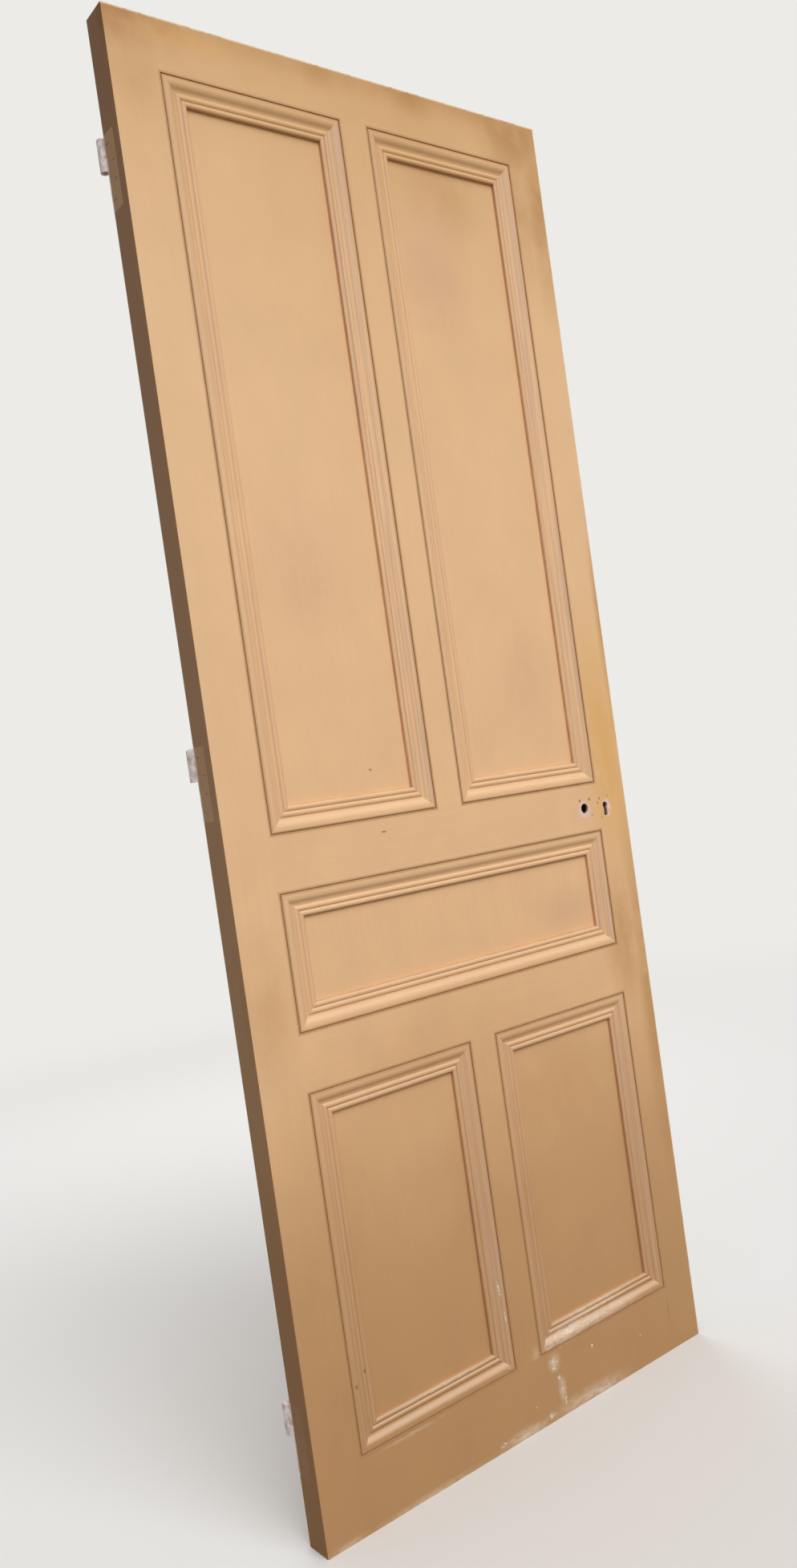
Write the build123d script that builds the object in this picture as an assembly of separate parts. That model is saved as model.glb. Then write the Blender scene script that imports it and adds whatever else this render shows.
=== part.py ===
from build123d import *
import math
import os

# A five-panelled door leaf, unhung: framed stiles, rails and muntins, planted mouldings, the leaf's
# halves of three lift-off hinges, and a horizontal mortice lock whose knobs and plates are lost.
# Millimetres. X across the leaf with the hinge edge at -X, Y through it with the front at -Y, Z up.
# The origin is the centre of the leaf's foot.

# The leaf
leaf_width = 762.0
leaf_height = 2032.0
leaf_thickness = 44.0
arris_radius = 1.2

# The frame's members, as wide as they show between the mouldings
hinge_stile_width = 72.5
lock_stile_width = 67.5
muntin_width = 50.0
top_rail_width = 72.0
lock_rail_width = 79.0
middle_rail_width = 81.0
bottom_rail_width = 105.0
lock_rail_centre_height = 910.5
middle_panel_height = 189.0

# Panels and the grooves that hold them
panel_recess = 10.0
groove_depth = 9.5
groove_width = 14.0
panel_play = 1.0
panel_shoulder_play = 0.5

# Tenons and their wedges
tenon_thickness = 14.0
twin_tenon_thickness = 7.0
haunch_height = 20.0
stub_tenon_length = 30.0
stub_mortice_play = 1.0
wedge_length = 48.0
wedge_thickness = 3.0

# The moulding's section: distances in from the frame, and heights above the panel's face
quirk_width = 1.4
quirk_depth = 3.0
lip_round = 1.2
lip_inner = 7.0
ogee_middle = 14.5
ogee_middle_drop = 2.9
ogee_inner = 20.5
ogee_drop = 5.2
bead_width = 7.6
bead_rise = 2.0
bead_step = 0.4

# The hinge halves
hinge_leaf_height = 100.0
hinge_leaf_width = 28.0
hinge_leaf_thickness = 2.5
lower_hinge_height = 98.0
middle_hinge_height = 979.0
top_hinge_inset = 150.0
knuckle_radius = 6.0
knuckle_length = 45.0
knuckle_offset = 1.2
knuckle_clearance = 0.2
knuckle_bevel = 3.6
pin_bore_radius = 3.5
pin_bore_depth = 38.0
hinge_screw_margin = 14.0
hinge_screw_stagger = 5.0
hinge_screw_count = 4

# Countersunk wood screws
screw_head_radius = 4.0
screw_head_depth = 2.3
screw_shank_radius = 2.0
screw_length = 25.0
screw_slot_width = 0.9
screw_slot_depth = 0.9

# The lock: case and plates
spindle_backset = 98.0
keyhole_backset = 50.0
forend_width = 22.0
forend_height = 90.0
forend_thickness = 3.0
forend_screw_inset = 9.0
case_length = 122.0
case_height = 54.0
case_thickness = 14.0
case_wall = 1.5
case_clearance = 0.5

# The lock: what moves
slide_clearance = 0.3
spindle_square = 8.0
journal_wall = 0.9
hub_shoulder = 1.5
follower_arm_radius = 19.0
follower_arm_width = 8.0
journal_clearance = 0.05
latch_head_height = 14.0
latch_head_length = 28.0
latch_reach = 11.0
latch_nose = 2.5
latch_tail_height = 5.0
latch_tail_thickness = 4.0
yoke_thickness = 4.0
yoke_gap = 0.4
yoke_lug_height = 8.0
dead_head_length = 26.0
dead_tail_length = 52.0
dead_tail_height = 20.0
dead_throw = 12.0
guide_post_radius = 2.5
guide_post_inset = 18.0
talon_left = 16.0
talon_right = 5.0
talon_depth = 6.5
spring_thickness = 0.6
latch_spring_width = 7.0
latch_spring_knee = 8.0
latch_spring_contact = 10.0
dead_spring_length = 26.0
dead_spring_width = 9.0
dead_spring_inset = 3.0
cap_pillar_radius = 4.0
cap_screw_radius = 2.0
cap_screw_inset = 14.0
cap_screw_rise = 6.0

# The holes through the wood
spindle_hole_radius = 8.0
keyhole_head_radius = 5.5
keyhole_slot_width = 7.5
keyhole_drop = 17.0
case_keyhole_radius = 4.5
case_keyhole_slot = 6.0
case_keyhole_drop = 12.0

# Places worked out from the sizes above
left = -leaf_width / 2
right = leaf_width / 2
front = -leaf_thickness / 2
rear = leaf_thickness / 2
field_left = left + hinge_stile_width
field_right = right - lock_stile_width
field_centre = (field_left + field_right) / 2
muntin_left = field_centre - muntin_width / 2
muntin_right = field_centre + muntin_width / 2
top_rail_foot = leaf_height - top_rail_width
lock_rail_foot = lock_rail_centre_height - lock_rail_width / 2
lock_rail_head = lock_rail_centre_height + lock_rail_width / 2
middle_rail_head = lock_rail_foot - middle_panel_height
middle_rail_foot = middle_rail_head - middle_rail_width
panel_front = front + panel_recess
panel_rear = rear - panel_recess
moulding_width = ogee_inner + 2 * bead_width
top_hinge_height = leaf_height - top_hinge_inset - hinge_leaf_height
spindle_x = right - spindle_backset
keyhole_x = right - keyhole_backset
lock_height = lock_rail_centre_height
forend_back = right - forend_thickness
case_back = forend_back - case_length
case_inner_half = case_thickness / 2 - case_wall
case_floor = lock_height - case_height / 2 + case_wall
case_ceiling = lock_height + case_height / 2 - case_wall
latch_centre_height = case_ceiling - slide_clearance - latch_head_height / 2
latch_tail_head = case_ceiling - slide_clearance
latch_tail_foot = latch_tail_head - latch_tail_height
follower_journal_radius = spindle_square / math.sqrt(2) + journal_wall
follower_hub_radius = follower_journal_radius + hub_shoulder
yoke_right = spindle_x - follower_hub_radius - yoke_gap
yoke_left = yoke_right - yoke_thickness
dead_foot = case_floor + slide_clearance
dead_heel = right - dead_head_length
dead_tail_end = dead_heel - dead_tail_length
dead_tail_head = dead_foot + dead_tail_height
lock_mortice_half = case_thickness / 2 + case_clearance

# The foot of each hinge's leaf
hinge_foot_heights = {
    "lower": lower_hinge_height,
    "middle": middle_hinge_height,
    "top": top_hinge_height,
}

# Each panel's opening in the frame: left, right, foot, head
openings = {
    "upper_hinge": (field_left, muntin_left, lock_rail_head, top_rail_foot),
    "upper_lock": (muntin_right, field_right, lock_rail_head, top_rail_foot),
    "middle": (field_left, field_right, middle_rail_head, lock_rail_foot),
    "lower_hinge": (field_left, muntin_left, bottom_rail_width, middle_rail_foot),
    "lower_lock": (muntin_right, field_right, bottom_rail_width, middle_rail_foot),
}

# Each rail: its foot and head, and how much lower and higher than its tenons they are
rail_spans = {
    "top_rail": (top_rail_foot, leaf_height, groove_depth, haunch_height),
    "lock_rail": (lock_rail_foot, lock_rail_head, groove_depth, groove_depth),
    "middle_rail": (middle_rail_foot, middle_rail_head, groove_depth, groove_depth),
    "bottom_rail": (0.0, bottom_rail_width, haunch_height, groove_depth),
}
rails = {
    name: (foot, head, foot + below, head - above)
    for name, (foot, head, below, above) in rail_spans.items()
}

parts = {}


def block(x0, x1, y0, y1, z0, z1):
    """A box between two corners."""
    box = Box(x1 - x0, y1 - y0, z1 - z0)
    return Pos((x0 + x1) / 2, (y0 + y1) / 2, (z0 + z1) / 2) * box


def upright_prism(points, y0, y1):
    """A flat outline in X and Z, as thick as from y0 to y1."""
    outline = make_face(Polyline(*[(x, y0, z) for x, z in points], close=True))
    return extrude(outline, amount=y1 - y0, dir=(0, 1, 0))


def rod_y(x, z, radius, y0, y1):
    """A round bar along Y."""
    bar = Cylinder(radius, y1 - y0)
    return Pos(x, (y0 + y1) / 2, z) * Rot(90, 0, 0) * bar


def rod_z(x, y, radius, z0, z1):
    """A round bar along Z."""
    return Pos(x, y, (z0 + z1) / 2) * Cylinder(radius, z1 - z0)


# Joinery
def groove(x0, x1, z0, z1):
    """The cut of the plough, in the middle of the thickness."""
    return block(x0, x1, -groove_width / 2, groove_width / 2, z0, z1)


def tenon_layers(twin):
    """The spans in Y that a tenon fills: one in the middle, or one each side of the lock."""
    if not twin:
        return [(-tenon_thickness / 2, tenon_thickness / 2)]
    inner = lock_mortice_half
    outer = lock_mortice_half + twin_tenon_thickness
    return [(-outer, -inner), (inner, outer)]


def tenon(side, foot, head, twin=False):
    """A through tenon, from the rail's shoulder to the leaf's edge on one side."""
    shoulder, edge = (field_left, left) if side == "hinge" else (field_right, right)
    x0, x1 = sorted((shoulder, edge))
    return [block(x0, x1, y0, y1, foot, head) for y0, y1 in tenon_layers(twin)]


def wedges(side, foot, head, twin=False):
    """The pair of wedges above and below each tenon, widest at the leaf's edge."""
    edge = left if side == "hinge" else right
    tip = edge + wedge_length if side == "hinge" else edge - wedge_length
    made = []
    for y0, y1 in tenon_layers(twin):
        upper = [(tip, head), (edge, head), (edge, head + wedge_thickness)]
        lower = [(tip, foot), (edge, foot), (edge, foot - wedge_thickness)]
        made += [upright_prism(upper, y0, y1), upright_prism(lower, y0, y1)]
    return made


def is_twin(side, rail):
    return side == "lock" and rail == "lock_rail"


def cut(body, tools):
    for tool in tools:
        body = body - tool
    return body


def join(pieces):
    whole = pieces[0]
    for piece in pieces[1:]:
        whole = whole + piece
    return whole


def mortices(side):
    """What a stile loses to the tenons and their wedges."""
    tools = []
    for rail, (_, _, tenon_foot, tenon_head) in rails.items():
        twin = is_twin(side, rail)
        tools += tenon(side, tenon_foot, tenon_head, twin)
        tools += wedges(side, tenon_foot, tenon_head, twin)
    return tools


def lock_mortice():
    """The slot for the lock's case, in from the lock edge."""
    half_height = case_height / 2 + case_clearance
    return block(
        case_back - case_clearance,
        right,
        -lock_mortice_half,
        lock_mortice_half,
        lock_height - half_height,
        lock_height + half_height,
    )


def forend_plate():
    """The forend's outline, which is also the shallow pocket that it sits in."""
    half_height = forend_height / 2
    return block(
        forend_back,
        right,
        -forend_width / 2,
        forend_width / 2,
        lock_height - half_height,
        lock_height + half_height,
    )


def edge_cuts():
    """All that is let into the leaf's two edges once it is framed and wedged."""
    feet = hinge_foot_heights.values()
    tools = [hinge_pocket(foot) for foot in feet]
    tools += [screw_hole(place) for foot in feet for place in hinge_screw_places(foot)]
    tools += [screw_hole(place) for place in forend_screw_places()]
    return tools + [lock_mortice(), forend_plate()]


def keyhole(head_radius, slot_width, drop, y0, y1):
    """A keyhole: a round head with a slot below it."""
    head = rod_y(keyhole_x, lock_height, head_radius, y0, y1)
    half = slot_width / 2
    slot = block(keyhole_x - half, keyhole_x + half, y0, y1, lock_height - drop, lock_height)
    return head + slot


def furniture_holes():
    """The spindle hole and the keyhole, right through the leaf."""
    return [
        rod_y(spindle_x, lock_height, spindle_hole_radius, front, rear),
        keyhole(keyhole_head_radius, keyhole_slot_width, keyhole_drop, front, rear),
    ]


def rounded_long_arrises(stile, edge_x):
    """Eases the two long corners on the leaf's outer edge."""
    corners = stile.edges().filter_by(Axis.Z)
    corners = [e for e in corners if abs(e.center().X - edge_x) < arris_radius]
    corners = [e for e in corners if abs(e.center().Y) > rear - arris_radius]
    return fillet(corners, arris_radius)


def hinge_stile():
    body = block(left, field_left, front, rear, 0, leaf_height)
    body = rounded_long_arrises(body, left)
    tools = [groove(field_left - groove_depth, field_left, 0, leaf_height)]
    return cut(body, tools + mortices("hinge") + edge_cuts())


def lock_stile():
    body = block(field_right, right, front, rear, 0, leaf_height)
    body = rounded_long_arrises(body, right)
    tools = [groove(field_right, field_right + groove_depth, 0, leaf_height)]
    return cut(body, tools + mortices("lock") + edge_cuts() + furniture_holes())


def muntin_sockets(rail, foot, head):
    """Stub mortices in a rail's edges, where a muntin stands on or hangs from it."""
    half = muntin_width / 2 - groove_depth
    depth = stub_tenon_length + stub_mortice_play
    spans = []
    if rail in ("top_rail", "middle_rail"):
        spans.append((foot, foot + depth))
    if rail in ("lock_rail", "bottom_rail"):
        spans.append((head - depth, head))
    x0, x1 = field_centre - half, field_centre + half
    return [block(x0, x1, -tenon_thickness / 2, tenon_thickness / 2, z0, z1) for z0, z1 in spans]


def haunches(rail, foot, head):
    """Short stubs that fill the stiles' grooves beside the top and bottom tenons."""
    if rail not in ("top_rail", "bottom_rail"):
        return []
    spans = {"top_rail": (leaf_height - haunch_height, leaf_height), "bottom_rail": (0, haunch_height)}
    z0, z1 = spans[rail]
    return [
        groove(field_left - groove_depth, field_left, z0, z1),
        groove(field_right, field_right + groove_depth, z0, z1),
    ]


def rail(name):
    foot, head, tenon_foot, tenon_head = rails[name]
    pieces = [block(field_left, field_right, front, rear, foot, head)]
    for side in ("hinge", "lock"):
        pieces += tenon(side, tenon_foot, tenon_head, is_twin(side, name))
    pieces += haunches(name, foot, head)
    tools = muntin_sockets(name, foot, head)
    if name != "bottom_rail":
        tools.append(groove(field_left, field_right, foot, foot + groove_depth))
    if name != "top_rail":
        tools.append(groove(field_left, field_right, head - groove_depth, head))
    if name == "lock_rail":
        tools += furniture_holes()
    return cut(join(pieces), tools + edge_cuts())


def muntin(foot, head):
    """An upright between two rails, with a stub tenon at each end."""
    body = block(muntin_left, muntin_right, front, rear, foot, head)
    half = muntin_width / 2 - groove_depth
    stub = block(
        field_centre - half,
        field_centre + half,
        -tenon_thickness / 2,
        tenon_thickness / 2,
        foot - stub_tenon_length,
        head + stub_tenon_length,
    )
    grooves = [
        groove(muntin_left, muntin_left + groove_depth, foot, head),
        groove(muntin_right - groove_depth, muntin_right, foot, head),
    ]
    return cut(body, grooves) + stub


def panel(x0, x1, z0, z1):
    """A flat panel with a tongue all round, free to move a little in its grooves."""
    play = panel_shoulder_play
    body = block(x0 + play, x1 - play, panel_front, panel_rear, z0 + play, z1 - play)
    reach = groove_depth - panel_play
    tongue = groove(x0 - reach, x1 + reach, z0 - reach, z1 + reach)
    return body + tongue


# Mouldings
def moulding_section():
    """The moulding's section: X in from the frame, Y up from the panel's face."""
    top = panel_recess
    lip_start = (quirk_width + lip_round, top)
    middle = (ogee_middle, top - ogee_middle_drop)
    valley = (ogee_inner, top - ogee_drop)
    ridge_1 = (ogee_inner + bead_width / 2, valley[1] + bead_rise)
    step_1 = (ogee_inner + bead_width, valley[1])
    start_2 = (step_1[0], step_1[1] - bead_step)
    ridge_2 = (step_1[0] + bead_width / 2, start_2[1] + bead_rise)
    end_2 = (moulding_width, start_2[1])
    rounding = TangentArc(lip_start, (quirk_width, top - lip_round), tangent=(-1, 0))
    upper_ogee = TangentArc((lip_inner, top), middle, tangent=(1, 0))
    lower_ogee = TangentArc(middle, valley, tangent=upper_ogee % 1)
    bead_1 = ThreePointArc(valley, ridge_1, step_1)
    bead_2 = ThreePointArc(start_2, ridge_2, end_2)
    back = Polyline(
        end_2,
        (moulding_width, 0),
        (0, 0),
        (0, top - quirk_depth),
        (quirk_width, top - quirk_depth),
        (quirk_width, top - lip_round),
    )
    edges = [rounding, Line(lip_start, (lip_inner, top)), upper_ogee, lower_ogee, bead_1]
    edges += [Line(step_1, start_2), bead_2, back]
    return make_face(Curve() + edges)


def mitre_wedge(corner_a, corner_b, inward):
    """The part of the opening that belongs to one side, cut at 45 degrees at both ends."""
    along_x = math.copysign(moulding_width, corner_b[0] - corner_a[0]) if inward[0] == 0 else 0
    along_z = math.copysign(moulding_width, corner_b[1] - corner_a[1]) if inward[1] == 0 else 0
    step_x, step_z = inward[0] * moulding_width, inward[1] * moulding_width
    return [
        corner_a,
        corner_b,
        (corner_b[0] - along_x + step_x, corner_b[1] - along_z + step_z),
        (corner_a[0] + along_x + step_x, corner_a[1] + along_z + step_z),
    ]


def moulding_length(corner_a, corner_b, inward, face):
    """One mitred length, along the side of an opening from corner to corner."""
    out_y = -1 if face == "front" else 1
    base_y = panel_front if face == "front" else panel_rear
    middle = ((corner_a[0] + corner_b[0]) / 2, base_y, (corner_a[1] + corner_b[1]) / 2)
    inwards = Vector(inward[0], 0, inward[1])
    outwards = Vector(0, out_y, 0)
    seat = Plane(origin=middle, x_dir=inwards, z_dir=inwards.cross(outwards))
    half_length = math.dist(corner_a, corner_b) / 2
    stick = extrude(seat * moulding_section(), amount=half_length, both=True)
    y0, y1 = sorted((base_y, base_y + out_y * panel_recess))
    return stick & upright_prism(mitre_wedge(corner_a, corner_b, inward), y0, y1)


def moulding(opening, face):
    """The four mitred lengths round one panel, on one face of the leaf."""
    x0, x1, z0, z1 = opening
    sides = {
        "bottom": ((x0, z0), (x1, z0), (0, 1)),
        "top": ((x0, z1), (x1, z1), (0, -1)),
        "hinge_side": ((x0, z0), (x0, z1), (1, 0)),
        "lock_side": ((x1, z0), (x1, z1), (-1, 0)),
    }
    return {side: moulding_length(a, b, inward, face) for side, (a, b, inward) in sides.items()}


# Hinges
def hinge_pocket(foot):
    """The pocket in the leaf's edge that the hinge's leaf is let into."""
    return block(
        left,
        left + hinge_leaf_thickness,
        rear - hinge_leaf_width,
        rear,
        foot,
        foot + hinge_leaf_height,
    )


def knuckle_axis():
    """Where the hinge pin stands: just clear of the leaf's rear corner."""
    x = left - knuckle_offset
    y = rear + knuckle_radius + knuckle_clearance
    return x, y


def hinge_screw_places(foot):
    """The screws down a hinge's leaf, the end ones towards the pin and the rest away from it."""
    middle_y = rear - hinge_leaf_width / 2
    last = hinge_screw_count - 1
    pitch = (hinge_leaf_height - 2 * hinge_screw_margin) / last
    made = []
    for i in range(hinge_screw_count):
        side = hinge_screw_stagger if i in (0, last) else -hinge_screw_stagger
        made.append((left, middle_y + side, foot + hinge_screw_margin + pitch * i, 1))
    return made


def hinge_half(foot):
    """The leaf's half of a lift-off hinge: a flat leaf and one knuckle, open below for the pin."""
    x, y = knuckle_axis()
    head = foot + hinge_leaf_height
    plate = block(left, left + hinge_leaf_thickness, rear - hinge_leaf_width, rear, foot, head)
    knuckle = rod_z(x, y, knuckle_radius, head - knuckle_length, head)
    knuckle = chamfer(knuckle.edges().sort_by(Axis.Z)[-1], knuckle_bevel)
    neck = block(left, left + hinge_leaf_thickness, rear, y, head - knuckle_length, head - knuckle_radius)
    bore = rod_z(x, y, pin_bore_radius, head - knuckle_length, head - knuckle_length + pin_bore_depth)
    tools = [bore] + [screw_hole(place) for place in hinge_screw_places(foot)]
    return cut(plate + neck + knuckle, tools)


# Screws, each given by the middle of its head and which way its point goes along X
def screw_head_cone(place):
    x, y, z, way = place
    cone = Cone(screw_shank_radius, screw_head_radius, screw_head_depth)
    turn = Rot(0, -90 * way, 0)
    return Pos(x + way * screw_head_depth / 2, y, z) * turn * cone


def screw_shank(place):
    x, y, z, way = place
    shank = Cylinder(screw_shank_radius, screw_length)
    return Pos(x + way * screw_length / 2, y, z) * Rot(0, 90, 0) * shank


def screw_hole(place):
    return screw_head_cone(place) + screw_shank(place)


def screw(place):
    """A countersunk screw with a slotted head, flush with the face it holds."""
    x, y, z, way = place
    half = screw_slot_width / 2
    x0, x1 = sorted((x, x + way * screw_slot_depth))
    slot = block(x0, x1, y - screw_head_radius, y + screw_head_radius, z - half, z + half)
    return screw_hole(place) - slot


# The lock
def forend_screw_places():
    offset = forend_height / 2 - forend_screw_inset
    return [(right, 0.0, lock_height + way * offset, -1) for way in (-1, 1)]


def latch_passage(x0, x1):
    half_height = latch_head_height / 2 + slide_clearance
    return block(
        x0,
        x1,
        -case_inner_half,
        case_inner_half,
        latch_centre_height - half_height,
        latch_centre_height + half_height,
    )


def dead_passage(x0, x1):
    head = dead_foot + latch_head_height + slide_clearance
    return block(x0, x1, -case_inner_half, case_inner_half, case_floor, head)


def lock_forend():
    tools = [latch_passage(forend_back, right), dead_passage(forend_back, right)]
    tools += [screw_hole(place) for place in forend_screw_places()]
    return cut(forend_plate(), tools)


def guide_post_place():
    """The post that the dead bolt's slot runs on."""
    return dead_tail_end + guide_post_inset, dead_foot + latch_head_height / 2


def cap_screw_place():
    """The pillar that the cap screws to, between the follower and the keyhole."""
    return spindle_x + follower_arm_radius + cap_screw_inset, lock_height + cap_screw_rise


def follower_bearing(y0, y1):
    """The round hole in the case or its cap that a journal of the follower turns in."""
    return rod_y(spindle_x, lock_height, follower_journal_radius + journal_clearance, y0, y1)


def lock_case():
    """A tray: a back plate with a rim, a pillar for the cap screw and a post for the dead bolt."""
    half = case_thickness / 2
    foot, head = lock_height - case_height / 2, lock_height + case_height / 2
    tray = block(case_back, forend_back, -case_inner_half, half, foot, head)
    hollow = block(
        case_back + case_wall,
        forend_back - case_wall,
        -case_inner_half,
        case_inner_half,
        case_floor,
        case_ceiling,
    )
    post_x, post_z = guide_post_place()
    post = rod_y(post_x, post_z, guide_post_radius, -case_inner_half, case_inner_half)
    pillar_x, pillar_z = cap_screw_place()
    pillar = rod_y(pillar_x, pillar_z, cap_pillar_radius, -case_inner_half, case_inner_half)
    pilot = rod_y(pillar_x, pillar_z, cap_screw_radius, -case_inner_half, case_inner_half)
    body = join([tray - hollow, post, pillar])
    tools = [latch_passage(forend_back - case_wall, forend_back)]
    tools.append(dead_passage(forend_back - case_wall, forend_back))
    tools += [follower_bearing(case_inner_half, half), pilot]
    tools.append(keyhole(case_keyhole_radius, case_keyhole_slot, case_keyhole_drop, case_inner_half, half))
    return cut(body, tools)


def lock_cap():
    """The plate that closes the tray."""
    half = case_thickness / 2
    foot, head = lock_height - case_height / 2, lock_height + case_height / 2
    plate = block(case_back, forend_back, -half, -case_inner_half, foot, head)
    pillar_x, pillar_z = cap_screw_place()
    tools = [
        follower_bearing(-half, -case_inner_half),
        rod_y(pillar_x, pillar_z, cap_screw_radius, -half, -case_inner_half),
        keyhole(case_keyhole_radius, case_keyhole_slot, case_keyhole_drop, -half, -case_inner_half),
    ]
    return cut(plate, tools)


def cap_screw():
    """A grub-headed screw flush with the cap, down the pillar."""
    x, z = cap_screw_place()
    half = case_thickness / 2
    body = rod_y(x, z, cap_screw_radius, -half, case_inner_half - case_wall)
    slot_half = screw_slot_width / 2
    slot = block(
        x - cap_screw_radius,
        x + cap_screw_radius,
        -half,
        -half + screw_slot_depth,
        z - slot_half,
        z + slot_half,
    )
    return body - slot


def follower():
    """The hub on the spindle, with an arm up and an arm down."""
    half = case_thickness / 2
    inner = case_inner_half - slide_clearance
    hub = rod_y(spindle_x, lock_height, follower_hub_radius, -inner, inner)
    journals = rod_y(spindle_x, lock_height, follower_journal_radius, -half, half)
    arm_half = follower_arm_width / 2
    arm_tip = follower_arm_radius - arm_half
    thickness = latch_tail_thickness / 2
    pieces = [hub, journals]
    for way in (-1, 1):
        tip_z = lock_height + way * arm_tip
        z0, z1 = sorted((lock_height, tip_z))
        pieces.append(block(spindle_x - arm_half, spindle_x + arm_half, -thickness, thickness, z0, z1))
        pieces.append(rod_y(spindle_x, tip_z, arm_half, -thickness, thickness))
    hole = Pos(spindle_x, 0, lock_height) * Box(spindle_square, case_thickness, spindle_square)
    return join(pieces) - hole


def latch_bolt():
    """A bevelled head on a flat tail, which ends in a yoke behind the follower."""
    tip = right + latch_reach
    heel = tip - latch_head_length
    half = case_inner_half - slide_clearance
    foot = latch_centre_height - latch_head_height / 2
    head = latch_centre_height + latch_head_height / 2
    plan = [(heel, -half), (right, -half), (tip, half - latch_nose), (tip, half), (heel, half)]
    outline = make_face(Polyline(*[(x, y, foot) for x, y in plan], close=True))
    nose = extrude(outline, amount=head - foot, dir=(0, 0, 1))
    thickness = latch_tail_thickness / 2
    tail = block(yoke_left, heel, -thickness, thickness, latch_tail_foot, latch_tail_head)
    yoke_foot = 2 * lock_height - latch_tail_head
    yoke = block(yoke_left, yoke_right, -thickness, thickness, yoke_foot, latch_tail_foot)
    lug_right = spindle_x - follower_arm_width / 2 - yoke_gap
    lugs = []
    for way in (-1, 1):
        middle = lock_height + way * (follower_arm_radius - follower_arm_width / 2)
        z0, z1 = middle - yoke_lug_height / 2, middle + yoke_lug_height / 2
        lugs.append(block(yoke_right, lug_right, -thickness, thickness, z0, z1))
    return join([nose, tail, yoke] + lugs)


def latch_spring():
    """A bent leaf that stands on the case's floor and leans on the yoke."""
    wall = case_back + case_wall
    knee = case_floor + latch_spring_knee
    contact = lock_height + latch_spring_contact
    lean = math.atan2(yoke_left - wall - spring_thickness, contact - knee)
    side = spring_thickness * math.cos(lean)
    up = spring_thickness * math.sin(lean)
    bend = knee + spring_thickness * math.tan(lean / 2)
    outline = [
        (wall, case_floor),
        (wall + spring_thickness, case_floor),
        (wall + spring_thickness, knee),
        (yoke_left, contact),
        (yoke_left - side, contact + up),
        (wall, bend),
    ]
    half = latch_spring_width / 2
    return upright_prism(outline, -half, half)


def dead_bolt():
    """A square head on a flat tail, with a notch for the key and a slot for the guide post."""
    half = case_inner_half - slide_clearance
    head = block(dead_heel, right, -half, half, dead_foot, dead_foot + latch_head_height)
    thickness = latch_tail_thickness / 2
    tail = block(dead_tail_end, dead_heel, -thickness, thickness, dead_foot, dead_tail_head)
    talon = block(
        keyhole_x - talon_left,
        keyhole_x + talon_right,
        -thickness,
        thickness,
        dead_tail_head - talon_depth,
        dead_tail_head,
    )
    post_x, post_z = guide_post_place()
    run = guide_post_radius + slide_clearance
    slot_left = post_x - dead_throw - run
    slot = block(slot_left, post_x + run, -thickness, thickness, post_z - run, post_z + run)
    return cut(head + tail, [talon, slot])


def dead_bolt_spring():
    """A bowed leaf riveted on the flank of the dead bolt's tail, which rubs on the case's back plate."""
    x1 = dead_heel - dead_spring_inset
    x0 = x1 - dead_spring_length
    middle = (x0 + x1) / 2
    flank = latch_tail_thickness / 2
    crest = case_inner_half - slide_clearance
    thick = spring_thickness
    z = dead_foot + dead_spring_inset
    outer = ThreePointArc((x0, flank, z), (middle, crest, z), (x1, flank, z))
    inner = ThreePointArc((x1 - thick, flank, z), (middle, crest - thick, z), (x0 + thick, flank, z))
    feet = [Line((x1, flank, z), (x1 - thick, flank, z)), Line((x0 + thick, flank, z), (x0, flank, z))]
    outline = make_face(Curve() + [outer, feet[0], inner, feet[1]])
    return extrude(outline, amount=dead_spring_width, dir=(0, 0, 1))


def build():
    parts["hinge_stile"] = hinge_stile()
    parts["lock_stile"] = lock_stile()
    for name in rails:
        parts[name] = rail(name)
    parts["upper_muntin"] = muntin(lock_rail_head, top_rail_foot)
    parts["lower_muntin"] = muntin(bottom_rail_width, middle_rail_foot)
    for name, opening in openings.items():
        parts[name + "_panel"] = panel(*opening)
        for side, length in moulding(opening, "front").items():
            parts["front_moulding_" + name + "_" + side] = length
        parts["rear_moulding_" + name] = list(moulding(opening, "rear").values())
    every_wedge = []
    for side in ("hinge", "lock"):
        for name, (_, _, tenon_foot, tenon_head) in rails.items():
            every_wedge += wedges(side, tenon_foot, tenon_head, is_twin(side, name))
    parts["tenon_wedges"] = [cut(wedge, edge_cuts()) for wedge in every_wedge]
    hinge_screws = []
    for name, foot in hinge_foot_heights.items():
        parts[name + "_hinge_half"] = hinge_half(foot)
        hinge_screws += [screw(place) for place in hinge_screw_places(foot)]
    parts["hinge_screws"] = hinge_screws
    parts["lock_case"] = lock_case()
    parts["lock_cap"] = lock_cap()
    parts["lock_forend"] = lock_forend()
    parts["forend_screws"] = [screw(place) for place in forend_screw_places()]
    parts["cap_screw"] = cap_screw()
    parts["follower"] = follower()
    parts["latch_bolt"] = latch_bolt()
    parts["latch_spring"] = latch_spring()
    parts["dead_bolt"] = dead_bolt()
    parts["dead_bolt_spring"] = dead_bolt_spring()


def solids_of(made):
    """Every solid in a part, whether it is one piece or a group."""
    pieces = made if isinstance(made, list) else [made]
    return [solid for piece in pieces for solid in piece.solids()]


build()
os.makedirs("parts", exist_ok=True)
for name, made in parts.items():
    solids = solids_of(made)
    shape = solids[0] if len(solids) == 1 else Compound(children=solids)
    export_step(shape, os.path.join("parts", name + ".step"))
    print(name, len(solids))
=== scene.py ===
"""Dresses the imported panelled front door: old oil paint, worn iron and brass, plain studio light."""
import math
from collections import namedtuple

import bmesh
import bpy
from mathutils import Matrix, Vector


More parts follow.
